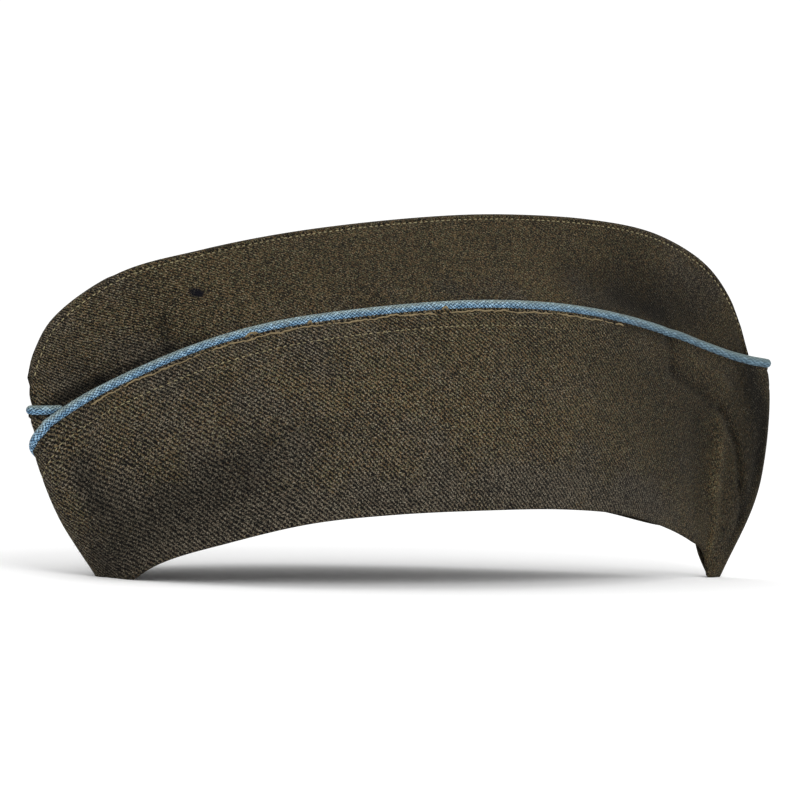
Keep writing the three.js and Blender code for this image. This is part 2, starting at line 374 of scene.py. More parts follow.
def gridFaces(rows, count, closed):
    i = np.arange(rows - 1)[:, None] * count
    j = np.arange(count if closed else count - 1)[None, :]
    k = (j + 1) % count
    return np.stack([i + j, i + count + j, i + count + k, i + k], axis=-1).reshape(-1, 4)


# Where each point is on the flat cloth, for the weave: along it, up it, and its section.
def clothCoords(run, climb, along):
    runs, places = (np.broadcast_to(values[:, None], climb.shape) for values in (run, along))
    return np.stack([runs, climb, places], axis=-1)


# A wall of cloth between two heights above a surface, with rounded edges at top and foot.
# Each section is one closed loop: outer skin, round the top, inner skin, round the foot.
def clothWall(name, surface, side, along, ups, rise, below, outer, inner, bend, keep, napAt):
    m, n = ups.shape
    places = np.repeat(along[:, None], n, 1)
    base = surface(side, places, ups)
    normal = outward(surface, side, places, ups)
    tangent = unit(np.gradient(base, axis=1))
    shape = relief(side, places, ups) + bend
    outerSkin = base + normal * (outer + shape)[..., None]
    innerSkin = base + normal * (inner + relief(side, places, ups))[..., None]
    middle = (outerSkin + innerSkin) / 2
    half = (outerSkin - innerSkin) / 2
    radius = np.linalg.norm(half, axis=2, keepdims=True)
    turns = np.radians([36, 72, 108, 144])
    loop = [outerSkin]
    over = tangent * radius
    for turn in turns:
        loop.append(middle[:, -1:] + half[:, -1:] * np.cos(turn) + over[:, -1:] * np.sin(turn))
    loop.append(innerSkin[:, ::-1])
    for turn in turns:
        loop.append(middle[:, :1] - half[:, :1] * np.cos(turn) - over[:, :1] * np.sin(turn))
    points = np.concatenate(loop, axis=1)
    points[..., 2] = np.maximum(points[..., 2], 0.02)
    points = keep(points, along)
    count = points.shape[1]
    across = distances(points[:, n - 1 : n + 5], 1)[:, 1:]
    inside = rise[:, -1:] + across[:, -1:] + (rise[:, -1:] - rise[:, ::-1])
    under = rise[:, :1] - radius[:, :1, 0] * (np.pi - turns)
    climb = np.concatenate([rise, rise[:, -1:] + across[:, :-1], inside, under], axis=1)
    line = outerSkin[:, n // 2]
    run = distances(line)
    run = run - np.interp(0, along, run)
    coords = clothCoords(-side * run, climb, along)
    looks = shading(places, ups, napAt)
    ends = [np.repeat(looks[:, k : k + 1], len(turns), 1) for k in (n - 1, 0)]
    looks = np.concatenate([looks, ends[0], looks[:, ::-1], ends[1]], axis=1)
    # Both ends are closed, between the skins and across the two rounded edges.
    faces = gridFaces(m, count, True)
    ring = np.arange(n - 1)
    opposite = n + len(turns) + (n - 1 - ring)
    start = np.stack([ring, ring + 1, opposite - 1, opposite], axis=1)
    end = start[:, ::-1] + (m - 1) * count
    caps = [start, end]
    corner = [n - 1, *range(n, n + 4), n + 4]
    foot = [2 * n + 3, *range(2 * n + 4, 2 * n + 8), 0]
    for arc in (corner, foot):
        strip = np.array([[arc[0], arc[1], arc[4], arc[5]], [arc[1], arc[2], arc[3], arc[4]]])
        caps += [strip, strip[:, ::-1] + (m - 1) * count]
    faces = np.concatenate([faces, *caps])
    if side < 0:
        faces = faces[:, ::-1]
    vectors = {"cloth": coords.reshape(-1, 3), "looks": looks.reshape(-1, 3)}
    piece = makeMesh(name, points.reshape(-1, 3), faces, vectors)
    skin = {"points": outerSkin, "normals": normal, "below": below, "along": along}
    return piece, skin


# Curtain: two plies with the cord between them at the top and two rows of stitches under it.
curtainLook = {
    "topGap": 1.35,  # how far the cloth's edge is below the middle of the cord
    "seamGroove": 0.3,
    "edgePuff": 0.25,
    "firstRow": 2.6,  # distance of each row of stitches below the middle of the cord
    "secondRow": 8.0,
    "gridStep": 1.5,
    "noseStep": 1.3,
    "evenAt": 0.4,  # the height at which those steps are even
    "napAt": (4.5, 11.0),  # the sections between which the twill goes under the nap
    "rowsBelowEdge": (0, 0.35, 0.7, 1.05, 1.4, 1.9, 2.6, 3.6, 4.6, 5.4, 6, 6.4, 6.8, 7.2, 7.6, 8.2, 9),
}


def curtain(name, side, end):
    look = curtainLook
    nose = evenly(form, side, end, 0, look["evenAt"], look["noseStep"])
    along = np.concatenate([nose[:-1], evenly(form, side, 0, last, look["evenAt"], look["gridStep"])])
    edge = edgeOf(side, along)
    near = np.array(look["rowsBelowEdge"])
    foot = footOf(side, along)
    shares = np.linspace(0, 1, 40)
    # Where the cloth ends: topGap below the middle of the cord, measured square to the cord.
    ladder = edge[:, None] - 0.1 * shares
    line = form(side, np.repeat(along[:, None], 40, 1), ladder)
    length = distances(line, 1)
    thick = liftOf(side, along) + capLook["curtainThickness"]
    rail, under = (above(form, side, along, ladder[:, k], thick) for k in (0, 8))
    run = unit(np.gradient(rail, axis=0))
    slope = np.linalg.norm(np.cross(unit(under - rail), run), axis=1)
    gapAlong = look["topGap"] / slope
    top = np.array([np.interp(g, l, u) for g, l, u in zip(gapAlong, length, ladder)])
    ups, rise, below = rowsBelow(form, side, along, foot, top, near, look["gridStep"])
    depth = (below * slope[:, None]) + look["topGap"]
    puff = look["edgePuff"] * np.exp(-(((depth - 1.7) / 0.6) ** 2))
    groove = look["seamGroove"] * np.exp(-(((depth - look["firstRow"]) / 0.45) ** 2))
    second = 0.6 * look["seamGroove"] * np.exp(-(((depth - look["secondRow"]) / 0.6) ** 2))
    lift = liftOf(side, along)[:, None]

    # The two sides don't cross behind the prow, and they meet along the back seam.
    def keep(points, places):
        shut = (places > 0)[:, None]
        y = side * np.maximum(side * points[..., 1], 0.01)
        points[..., 1] = np.where(shut, y, points[..., 1])
        n = ups.shape[1]
        points[-1, n + 4 : 2 * n + 4, 1] = side * 0.01
        return points

    piece, skin = clothWall(
        name,
        form,
        side,
        along,
        ups,
        rise,
        below,
        lift + capLook["curtainThickness"],
        lift + np.zeros_like(ups),
        puff - groove - second,
        keep,
        look["napAt"],
    )
    skin["depth"] = depth
    return piece, skin


curtains = {}
for name, side, end in (("curtain_left", -1, capLook["leftEnd"]), ("curtain_right", 1, capLook["rightEnd"])):
    curtains[side] = curtain(name + "_cloth", side, end)
print("curtains made")

# Crown: one ply on each side, turned in at the ridge and stitched just under it.
crownLook = {
    "gridStep": 1.6,
    "evenAt": 0.8,
    "ridgeRow": 1.7,  # distance of the stitches below the ridge
    "ridgePuff": 0.35,
    "ridgeGroove": 0.3,
    "footGap": 0.03,
    "topStart": 3.0,  # the sections between which the top is open as a valley
    "topEnd": 9.0,
    "valleyDepth": 34,
    # painted shade in the valley, browner and partly napped cloth
    "valleyShadeLooks": (0.85, 0.6, 0.6),
    "napAt": (0.5, 6.5),
    "twillScale": 0.92,
    # the moth hole is a near-black spot: the cap's inside seen through it, in painted shade
    "mothHole": (68.7, 81.8, 1.9),  # where it is along and up the cloth, and its size
    "rowsBelowRidge": (0, 0.3, 0.6, 0.9, 1.2, 1.5, 1.8, 2.1, 2.5, 3, 4, 5.2, 6.6),
}


def crownSide(name, side):
    look = crownLook
    along = evenly(crownForm, side, 0, last, look["evenAt"], look["gridStep"])
    along = np.concatenate([np.linspace(-0.5, 0, 5)[:-1], along])
    near, top = np.array(look["rowsBelowRidge"]), np.full_like(along, 1.0)
    foot = footOf(side, along) + look["footGap"]
    ups, rise, below = rowsBelow(crownForm, side, along, foot, top, near, look["gridStep"])
    nose = (along < 0)[:, None]
    gap = capLook["pieceGap"]
    outer = np.where(nose, -1.5 * gap, -gap) + np.zeros_like(ups)
    sewn = smooth(along, 0.2, 1.2)[:, None]
    puff = look["ridgePuff"] * sewn * np.exp(-(((below - 0.7) / 0.5) ** 2))
    groove = look["ridgeGroove"] * sewn * np.exp(-(((below - look["ridgeRow"]) / 0.45) ** 2))

    # The sides stay apart for the top, and meet where the ridges are sewn together.
    def keep(points, places):
        n = ups.shape[1]
        nearest = np.full(points.shape[:2], 0.01)
        nearest[:, :n] = np.where(places[:, None] < 0, 0.01, 1.15)
        seamed = (places < look["topStart"] - 0.05) | (places > look["topEnd"] + 0.05)
        points[..., 1] = side * np.maximum(side * points[..., 1], nearest)
        for k in (n + 2, n + 3, n + 4):
            points[:, k, 1] = np.where(seamed, side * 0.01, points[:, k, 1])
        return points

    inner = -gap - capLook["crownThickness"]
    bend = puff - groove
    return clothWall(name, crownForm, side, along, ups, rise, below, outer, inner, bend, keep, look["napAt"])


crowns = {side: crownSide(name, side) for name, side in (("crown_left_cloth", -1), ("crown_right_cloth", 1))}


# Top: folded down as a valley between the ridges.
def foldedTop(name):
    look = crownLook
    along = np.linspace(look["topStart"], look["topEnd"], 130)
    gap, thick = capLook["pieceGap"], capLook["crownThickness"]
    one = np.ones_like(along)
    ridge = above(crownForm, -1, along, one, -gap * one)
    inside, farInside = (above(crownForm, side, along, one, -(gap + thick) * one) for side in (-1, 1))
    other = above(crownForm, 1, along, one, -gap * one)
    share = (along - look["topStart"]) / (look["topEnd"] - look["topStart"])
    opening = np.sin(np.pi * (0.06 + 0.88 * share))
    turn = np.linspace(0, np.pi, 41)[None, :]
    skins = []
    for inset in (0, thick):
        widths = [(np.abs(wall[:, 1]) - 0.02 - inset)[:, None] for wall in (inside, farInside)]
        halfWidth = (widths[0] * (1 - np.cos(turn)) + widths[1] * (1 + np.cos(turn))) / 2
        depth = (look["valleyDepth"] * opening - inset)[:, None]
        level = ridge[:, None, 2] + (other[:, None, 2] - ridge[:, None, 2]) * (1 + np.cos(turn)) / 2 - gap
        across = halfWidth * np.cos(turn)
        x = np.repeat(((ridge[:, 0] + inside[:, 0]) / 2)[:, None], turn.size, 1)
        skins.append(np.stack([x, across, level - depth * np.sin(turn)], axis=-1))
    outer, inner = skins
    loop = np.concatenate([outer, inner[:, ::-1]], axis=1)
    climb = distances(outer, 1)
    climb = np.concatenate([climb, climb[:, ::-1]], axis=1)
    run = distances(outer[:, 0])
    coords = clothCoords(run, climb, along)
    count = loop.shape[1]
    ring = np.arange(count // 2 - 1)
    start = np.stack([ring, ring + 1, count - 2 - ring, count - 1 - ring], axis=1)
    end = start[:, ::-1] + (len(along) - 1) * count
    faces = np.concatenate([gridFaces(len(along), count, True), start, end])[:, ::-1]
    # Painted shade over the whole valley, with browner, partly napped cloth.
    looks = np.broadcast_to(look["valleyShadeLooks"], loop.shape)
    vectors = {"cloth": coords.reshape(-1, 3), "looks": looks.reshape(-1, 3)}
    return makeMesh(name, loop.reshape(-1, 3), faces, vectors)


top = foldedTop("crown_top_cloth")
print("crown made")

# Piping: one braided cord along both edges, round the prow and round the back seam.
pipingLook = {
    "radius": 1.5,
    "sides": 20,
    "step": 0.6,
    "rightEnd": -1.75,
    "nosePull": {-1: 0.8, 1: 1.4},  # how far each side is drawn in round the prow
    "tuck": 1.4,  # how far the right end goes under the left cord
    "unevenness": 0.05,
    "backSwell": 0.13,
    "squeeze": (0.09, 95, 35),  # the amount, place and reach of its thinner stretch
    "drawnOut": 0.68,  # how far the braid is drawn out at the back
}


def cordCentre(side, along):
    height = liftOf(side, along) + pipingLook["radius"] + capLook["pieceGap"] / 2
    height -= pipingLook["nosePull"][side] * np.exp(-(((along + 0.5) / 0.45) ** 2))
    if side > 0:
        height -= pipingLook["tuck"] * smooth(-along, 1.3, 1.6)
    return above(form, side, along, edgeOf(side, along), height)


def evenLine(points, step):
    length = distances(points)
    count = int(length[-1] / step) + 1
    places = np.linspace(0, length[-1], count)
    return pointsAt(places, length, points), places


# A round tube. Its coords are distance along it, share of a turn, and how far up it faces.
def tube(line, places, radii, sides):
    ahead = unit(np.gradient(line, axis=0))
    across = unit(np.cross(ahead, np.array([0.0, 0, 1])))
    over = np.cross(across, ahead)
    angle = np.linspace(0, 2 * np.pi, sides, endpoint=False)
    ring = across[:, None] * np.cos(angle)[:, None] + over[:, None] * np.sin(angle)[:, None]
    points = line[:, None] + ring * radii[:, None, None]
    faces = gridFaces(len(line), sides, True)
    coords = np.zeros((len(faces), 4, 3))
    row, column = np.divmod(np.arange(len(faces)), sides)
    for corner, (dr, dc) in enumerate(((0, 0), (1, 0), (1, 1), (0, 1))):
        coords[:, corner, 0] = places[row + dr]
        coords[:, corner, 1] = (column + dc) / sides
        coords[:, corner, 2] = np.sin(2 * np.pi * (column + dc) / sides)
    return points.reshape(-1, 3), faces, coords


def makeCord(name):
    look = pipingLook
    along = np.linspace(capLook["leftEnd"] + 0.1, last, 220)
    left = cordCentre(-1, along)
    eased = left.copy()  # without the sharp bend where it passes the prow
    for _ in range(16):
        eased[1:-1] = (eased[:-2] + 2 * eased[1:-1] + eased[2:]) / 4
    left += (eased - left) * smooth(-along, 0.6, 0.85)[:, None]
    right = cordCentre(1, np.linspace(look["rightEnd"], last, 220))
    turn = left[-1] * (1, 0, 1) + (look["radius"], 0, 0)
    control = np.concatenate([left, turn[None], right[::-1]])
    line, places = evenLine(onCurve(control, np.linspace(0, 1, 4000)), look["step"])
    radii = np.full(len(line), look["radius"])
    for _ in range(9):
        knot = rng.uniform(0, places[-1])
        amount = look["unevenness"] * rng.uniform(-1, 1)
        radii += amount * np.exp(-(((places - knot) / rng.uniform(3, 14)) ** 2))
    fromEnd = np.minimum(places, places[-1] - places)
    radii *= np.sqrt(np.clip(1 - (1 - np.clip(fromEnd / look["radius"], 0, 1)) ** 2, 0.02, 1))
    back = 1 - np.abs(2 * places / places[-1] - 1)
    squeeze, at, reach = look["squeeze"]
    radii *= (1 + look["backSwell"] * smooth(back, 0.94, 0.99)) * (
        1 - squeeze * np.exp(-(((places - at) / reach) ** 2))
    )
    drawn = np.cumsum(1 - look["drawnOut"] * smooth(back, 0.4, 0.95)) * look["step"]
    points, faces, coords = tube(line, drawn, radii, look["sides"])
    return makeMesh(name, points, faces, {"braid": coords.reshape(-1, 3)}), float(drawn[back.argmax()])


piping, backAt = makeCord("piping_cord")
print("piping made")


# Rows of thread: short rounded stitches laid along a line on the cloth.
def stitchRow(line, normals, pitch, share, radius, jitter):
    length = distances(line)
    starts = np.arange(pitch / 2, length[-1] - pitch, pitch)
    starts = starts + rng.normal(0, jitter * pitch, len(starts))
    spans = pitch * share * rng.uniform(0.85, 1.1, len(starts))
    t = np.array([0, 0.12, 0.35, 0.65, 0.88, 1])
    places = starts[:, None] + spans[:, None] * t
    at = pointsAt(places, length, line)
    up = unit(pointsAt(places, length, normals))
    ahead = unit(at[:, -1] - at[:, 0])[:, None]
    across = unit(np.cross(up, ahead))
    skew = rng.normal(0, jitter, len(starts))[:, None, None] * (t[None, :, None] - 0.5) * pitch
    at = at + across * skew + up * (radius * (1.3 * np.sin(np.pi * t) ** 0.6 - 0.9))[None, :, None]
    size = radius * np.array([0.35, 0.85, 1, 1, 0.85, 0.35])
    angle = np.linspace(0, 2 * np.pi, 6, endpoint=False)
    ring = across[:, :, None] * np.cos(angle)[:, None] + up[:, :, None] * np.sin(angle)[:, None]
    points = at[:, :, None] + ring * size[:, None, None]
    one = gridFaces(len(t), 6, True)
    faces = (np.arange(len(starts)) * len(t) * 6)[:, None, None] + one[None]
    return points.reshape(-1, 3), faces.reshape(-1, 4)


# One slack thread that wanders along a line and dips into the cloth here and there.
def loopedThread(line, normals, radius):
    fine, places = evenLine(line, 0.5)
    length = distances(line)
    up = unit(pointsAt(places, length, normals))
    across = unit(np.cross(up, np.gradient(fine, axis=0)))
    aside, dip = np.zeros(len(places)), np.zeros(len(places))
    for wavelength, amount in ((31.0, 0.22), (11.0, 0.16), (4.7, 0.12), (2.3, 0.1)):
        aside += amount * np.sin(2 * np.pi * places / wavelength + rng.uniform(0, 6))
        dip += 1.1 * amount * np.sin(2 * np.pi * places / (wavelength * 1.3) + rng.uniform(0, 6))
    fromEnd = np.minimum(places, places[-1] - places)
    dip -= 1.8 * (1 - smooth(fromEnd, 0, 12))
    fine = fine + across * aside[:, None] + up * (0.12 + dip)[:, None]
    radii = radius * (1 + 0.3 * np.sin(places / 1.7 + 2 * np.sin(places / 5)) * np.sin(places / 9))
    points, faces, _ = tube(fine, places, radii, 6)
    return points, faces


def atDepth(skin, depth, key="depth"):
    picked, facing = [], []
    for points, normals, depths in zip(skin["points"], skin["normals"], skin[key]):
        order = np.argsort(depths)
        picked.append(pointsAt(depth, depths[order], points[order]))
        facing.append(pointsAt(depth, depths[order], normals[order]))
    return np.array(picked), unit(np.array(facing))


def joinRows(name, rows, vectors=None):
    offset, points, faces = 0, [], []
    for p, f in rows:
        points.append(p)
        faces.append(f + offset)
        offset += len(p)
    return makeMesh(name, np.concatenate(points), np.concatenate(faces), vectors)


threadLook = {
    "ridgeRow": {"pitch": 2.2, "share": 0.62, "radius": 0.21, "jitter": 0.06},
    "curtainRow": {"pitch": 2.3, "share": 0.55, "radius": 0.17, "jitter": 0.08},
    "edgeThread": 0.3,
    "edgeReach": (0.5, 8.4),  # the sections between which the edge thread shows
    "rightEdgeStart": -1.2,
    "tuftThread": 0.2,
    "khaki": ((0.34, 0.29, 0.16, 1), (0.08, 0.07, 0.035, 1)),
    "tan": ((0.25, 0.19, 0.1, 1), (0.08, 0.06, 0.03, 1)),
}
# Loose bits of the edge thread over the foot of the left cord: section and length.
tufts = ((3.83, 3.2), (4.5, 1.4), (5.82, 1.8))


def tuft(at, size):
    centre, ahead = cordCentre(-1, np.array([at, at + 0.02]))
    ahead = unit(ahead - centre)
    facing = outward(form, -1, np.array([at]), edgeOf(-1, np.array([at])))[0]
    up = unit(np.cross(facing, ahead))
    bits = []
    for _ in range(5):
        turn = np.radians(np.array([-86, -58, -54, -84]) + rng.uniform(-6, 12))[:, None]
        along = (np.array([-0.5, -0.2, 0.2, 0.5]) + rng.uniform(-0.2, 0.2))[:, None] * size
        out = 1.08 * pipingLook["radius"] * (np.cos(turn) * facing + np.sin(turn) * up)
        line = onCurve(centre + out + along * ahead, np.linspace(0, 1, 14))
        points, faces, _ = tube(line, np.arange(14.0), np.full(14, threadLook["tuftThread"]), 6)
        bits.append((points, faces))
    return bits


ridgeRows, curtainRows, edgeRows = [], [], []
for side in (-1, 1):
    line, facing = atDepth(crowns[side][1], crownLook["ridgeRow"], "below")
    started = crowns[side][1]["along"] >= 0.1
    ridgeRows.append(stitchRow(line[started], facing[started], **threadLook["ridgeRow"]))
    line, facing = atDepth(curtains[side][1], curtainLook["secondRow"])
    sunk = 0.3 * smooth(curtains[side][1]["along"], 6.0, 7.5) - 0.08
    line = line - facing * sunk[:, None]
    curtainRows.append(stitchRow(line, facing, **threadLook["curtainRow"]))
    line, facing = atDepth(curtains[side][1], curtainLook["firstRow"])
    start, end = threadLook["edgeReach"]
    start = start if side < 0 else threadLook["rightEdgeStart"]
    shown = (curtains[side][1]["along"] > start) & (curtains[side][1]["along"] < end)
    edgeRows.append(loopedThread(line[shown], facing[shown], threadLook["edgeThread"]))
for at, size in tufts:
    edgeRows += tuft(at, size)
ridgeStitches = joinRows("ridge_stitches", ridgeRows)
curtainStitches = joinRows("curtain_stitches", curtainRows)
edgeStitches = joinRows("edge_stitches", edgeRows)
print("stitches made")

# Fuzz: short loose fibres that stand off the cloth.
fuzzLook = {
    "onCurtain": 34000,
    "onCrown": 22000,
    "length": (0.5, 1.5),
    "width": 0.035,
    "stand": 0.45,
    "dark": (0.02, 0.018, 0.014, 1),
    "pale": (0.2, 0.18, 0.13, 1),
}


def fuzz(name, walls, count):
    look = fuzzLook
    skins = [(walls[side][1]["points"], walls[side][1]["normals"]) for side in (-1, 1)]
    bases, facings = [], []
    for points, normals in skins:
        a, b = points[1:, 1:] - points[:-1, :-1], points[1:, :-1] - points[:-1, 1:]
        area = np.linalg.norm(np.cross(a, b), axis=2).ravel()
        picked = rng.choice(area.size, count // len(skins), p=area / area.sum())
        i, j = np.divmod(picked, points.shape[1] - 1)
        s, t = rng.uniform(0, 1, (2, len(i), 1))
        p = points[i, j] * (1 - s) * (1 - t) + points[i + 1, j] * s * (1 - t)
        bases.append(p + points[i, j + 1] * (1 - s) * t + points[i + 1, j + 1] * s * t)
        facings.append(normals[i, j])
    base, facing = np.concatenate(bases), np.concatenate(facings)
    n = len(base)
    lean = rng.normal(0, 1, (n, 3))
    lean = unit(lean - facing * (lean * facing).sum(1, keepdims=True))
    size = rng.uniform(*look["length"], (n, 1))
    stand = np.abs(rng.normal(0, look["stand"], (n, 1)))
    middle = base + lean * size * 0.5 + facing * size * stand * 0.6
    tip = middle + unit(lean + 0.7 * rng.normal(0, 1, (n, 3))) * size * 0.45 + facing * size * stand * 0.3
    wide = unit(np.cross(facing, lean)) * look["width"] / 2
    base = base - facing * 0.05
    corners = [base - wide, base + wide, middle + wide, middle - wide, tip + wide * 0.4, tip - wide * 0.4]
    points = np.stack(corners, axis=1)
    points[..., 2] = np.maximum(points[..., 2], 0.03)
    start = (np.arange(n) * 6)[:, None]
    faces = np.concatenate([start + [[0, 1, 2, 3]], start + [[3, 2, 4, 5]]])
    return makeMesh(name, points.reshape(-1, 3), faces)


curtainFuzz = fuzz("curtain_fuzz", curtains, fuzzLook["onCurtain"])
crownFuzz = fuzz("crown_fuzz", crowns, fuzzLook["onCrown"])
print("fuzz made")


# Shader maths. A Value is a socket that takes part in sums.
class Value:
    def __init__(self, surface, socket):
        self.surface = surface
        self.socket = socket

    def math(self, operation, *others):
        return self.surface.node("ShaderNodeMath", {"operation": operation}, [self, *others])

    def __add__(self, other):
        return self.math("ADD", other)

    def __radd__(self, other):
        return self.math("ADD", other)

    def __sub__(self, other):
        return self.math("SUBTRACT", other)

    def __rsub__(self, other):
        return self * -1 + other

    def __mul__(self, other):
        return self.math("MULTIPLY", other)

    def __rmul__(self, other):
        return self.math("MULTIPLY", other)

    def __pow__(self, other):
        return self.math("POWER", other)

    def wave(self):
        return (self * (2 * math.pi)).math("COSINE") * 0.5 + 0.5

    def floor(self):
        return self.math("FLOOR")

    def clamp(self):
        return self.node("ShaderNodeClamp", None, [self])

    def node(self, *given):
        return self.surface.node(*given)

    def ramp(self, low, high):
        return self.node("ShaderNodeMapRange", {"interpolation_type": "SMOOTHSTEP"}, [self, low, high])


class Surface:
    def __init__(self, name, constants):
        self.material = bpy.data.materials.new(name)
        self.material.use_nodes = True
        self.tree = self.material.node_tree
        self.shader = self.tree.nodes["Principled BSDF"]
        for label, value in constants.items():
            self.shader.inputs[label].default_value = value

    def feed(self, socket, value):
        if isinstance(value, Value):
            self.tree.links.new(value.socket, socket)
        else:
            socket.default_value = value

    def node(self, kind, settings=None, inputs=(), output=0):
        made = self.tree.nodes.new(kind)
        for label, value in (settings or {}).items():
            setattr(made, label, value)
        for label, value in inputs.items() if isinstance(inputs, dict) else enumerate(inputs):
            self.feed(made.inputs[label], value)
        return Value(self, made.outputs[output])

    def finish(self, **links):
        for label, value in links.items():
            self.feed(self.shader.inputs[label.replace("_", " ")], value)
        return self.material

    def attribute(self, label):
        vector = self.node("ShaderNodeAttribute", {"attribute_name": label}, (), "Vector")
        return [self.node("ShaderNodeSeparateXYZ", None, [vector], k) for k in range(3)]

    def vector(self, x, y, z=0.0):
        return self.node("ShaderNodeCombineXYZ", None, [x, y, z])

    def noise(self, vector, scale, detail=2.0, roughness=0.5):
        inputs = {"Vector": vector, "Scale": scale, "Detail": detail, "Roughness": roughness}
        return self.node("ShaderNodeTexNoise", None, inputs)

    def chance(self, vector):
        return self.node("ShaderNodeTexWhiteNoise", {"noise_dimensions": "2D"}, {"Vector": vector})

    def blend(self, factor, a, b, mode="MIX"):
        settings = {"data_type": "RGBA", "blend_type": mode}
        return self.node("ShaderNodeMix", settings, {0: factor, 6: a, 7: b}, 2)

    def bump(self, height, strength, distance):
        inputs = {"Strength": strength, "Distance": distance, "Height": height}
        return self.node("ShaderNodeBump", None, inputs)


sergeLook = {
    "walePitch": 1.25,  # millimetres between the twill's ridges
    "floatLength": 1.05,
    "darkThread": (0.003, 0.0026, 0.0026, 1),
    "brownThread": (0.117, 0.07, 0.028, 1),
    "greenThread": (0.083, 0.081, 0.037, 1),
    "greyThread": (0.085, 0.074, 0.06, 1),
    "paleFibre": (0.3, 0.27, 0.21, 1),
    # the cap's inside seen through the moth hole, in painted shade
    "mothHole": (0.001, 0.001, 0.003, 1),
    "lightness": 0.345,
    "contrast": {  # how much each thing in the cloth changes its lightness
        "rib": 1.02,
        "bead": 0.35,
        "pick": 0.1,
        "grain": 0.5,
        "fibre": 2.4,
        "speck": 0.8,
        "coarse": 0.25,
        "patch": 0.55,
    },
    "napHides": 0.75,  # how much of the twill the nap hides
    "bumpDepth": 0.0003,
}


def sergeMaterial(name, pitchScale, spot=None):
    look = sergeLook
    serge = Surface(
        name,
        {
            "Roughness": 0.95,
            "Specular IOR Level": 0.1,
            "Sheen Weight": 0.03,
            "Sheen Roughness": 0.5,
            "Sheen Tint": (0.8, 0.7, 0.5, 1),
        },
    )
    run, rise, _ = serge.attribute("cloth")
    shade, brown, nap = serge.attribute("looks")
    flat = serge.vector(run, rise)
    drift = serge.noise(flat, 0.05, 2.0) * 2.2 + serge.noise(flat, 0.6, 1.0) * 0.5
    diagonal = 1 / (look["walePitch"] * pitchScale * math.sqrt(2))
    wale = (run + rise) * diagonal + drift
    step = (run - rise) * (1 / (look["floatLength"] * pitchScale * math.sqrt(2))) + wale.floor() * 0.5
    rib = wale.wave()
    bead = step.wave()
    clear = 1.0 - nap * look["napHides"]
    pick = serge.chance(serge.vector(wale.floor(), step.floor()))
    speck = serge.chance(serge.vector((wale * 2.0).floor(), (step * 2.0).floor()))
    grain = serge.noise(flat, 1.4, 0.0)
    fibre = serge.noise(serge.vector(run + 40.0, rise), 2.5, 0.0)
    tint = serge.noise(serge.vector(run, rise + 70.0), 1.4, 1.0, 0.6)
    coarse = serge.noise(flat, 0.35, 3.0, 0.6)
    patch = serge.noise(flat, 0.045, 3.0, 0.6)
    much = look["contrast"]
    light = (rib - 0.5) * clear * much["rib"] + (bead - 0.5) * rib * clear * much["bead"]
    changes = {"pick": pick, "grain": grain, "fibre": fibre, "speck": speck, "coarse": coarse, "patch": patch}
    for label, value in changes.items():
        light = light + (value - 0.5) * much[label]
    light = (light * (1.0 - nap * 0.35) + look["lightness"]).clamp()
    hue = (serge.noise(flat, 0.06, 2.0) * 0.6 + grain * 0.4 + (brown - 0.5) * 0.5).ramp(0.35, 0.65)
    tint = (tint - 0.5) * 4.0 + 0.55 + (pick - 0.5) * 0.6
    warm = serge.blend(tint, look["greenThread"], look["brownThread"])
    thread = serge.blend(hue * 0.7 + 0.3, look["greyThread"], warm)
    colour = serge.blend(light ** 1.3, look["darkThread"], thread)
    bright = fibre.ramp(0.52, 0.75) * speck.ramp(0.2, 0.9) * (rib * 0.7 + 0.3) * (1.0 - nap * 0.6)
    colour = serge.blend(bright * 0.75, colour, look["paleFibre"])
    # The painted light and shade of the folds table lightens and darkens the colour here.
    dim = shade ** 2.2
    colour = serge.blend(1.0, colour, serge.vector(dim, dim, dim), "MULTIPLY")
    # The moth hole is painted as a near-black spot: the cap's inside seen through it, in painted shade.
    if spot:
        away = ((run - spot[0]) ** 2.0 + (rise - spot[1]) ** 2.0) ** 0.5
        away = away + (grain - 0.5) * 1.2
        colour = serge.blend(1.0 - away.ramp(spot[2] * 0.6, spot[2] * 1.5), colour, look["mothHole"])
    height = rib * (bead * 0.35 + 0.65) * clear + grain * 0.8 + fibre * 0.5
    return serge.finish(Base_Color=colour, Normal=serge.bump(height, 1.0, look["bumpDepth"]))


cordLook = {
    "strands": 8,
    "lead": 11.5,  # millimetres for one turn of a strand
    # painted shade in the grooves between the strands
    "groove": (0.012, 0.03, 0.06, 1),
    # the greyer colour towards the cord's top
    "topGrey": (0.265, 0.335, 0.31, 1),
    "blue": (0.105, 0.265, 0.45, 1),
    "worn": (0.43, 0.64, 0.82, 1),
    "soil": (0.13, 0.12, 0.09, 1),
    "backTeal": (0.17, 0.25, 0.265, 1),
    "backReach": (10.0, 80.0),  # how far from the back seam the cord is tealer, with less braid showing and painted shade
    # how much painted shade darkens the cord at the back seam
    "backShade": 0.4,
    "bumpDepth": 0.0003,
}


